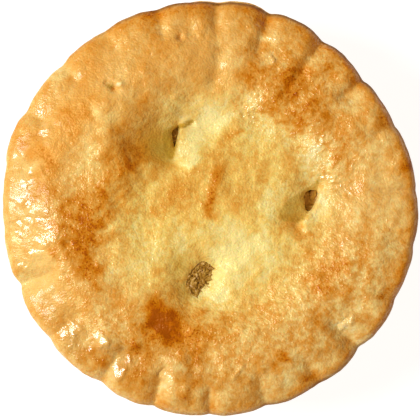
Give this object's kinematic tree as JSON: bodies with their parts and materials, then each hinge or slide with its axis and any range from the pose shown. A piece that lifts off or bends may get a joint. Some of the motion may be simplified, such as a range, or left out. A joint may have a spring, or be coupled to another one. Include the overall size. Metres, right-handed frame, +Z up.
{
  "type": "mince and cheese pie",
  "caption": "Round savoury pie with a crimped pastry rim, a browned lid whose steam vents show the mince filling, and a flat base to stand on.",
  "frame": {"origin": "centre of the flat base that the pie stands on", "axes": "+Z up through the lid, +Y towards the far side of the lid, which is the upper edge of the picture, +X to its right"},
  "size_m": [0.1199, 0.1198, 0.0382],
  "materials": {
    "pastry": "baked and egg-washed, golden with browned patches and a patchy gloss",
    "mince": "moist cooked mince in gravy"
  },
  "bodies": {
    "root": {"crust": "pastry", "mince_filling": "mince"}
  },
  "joints": []
}
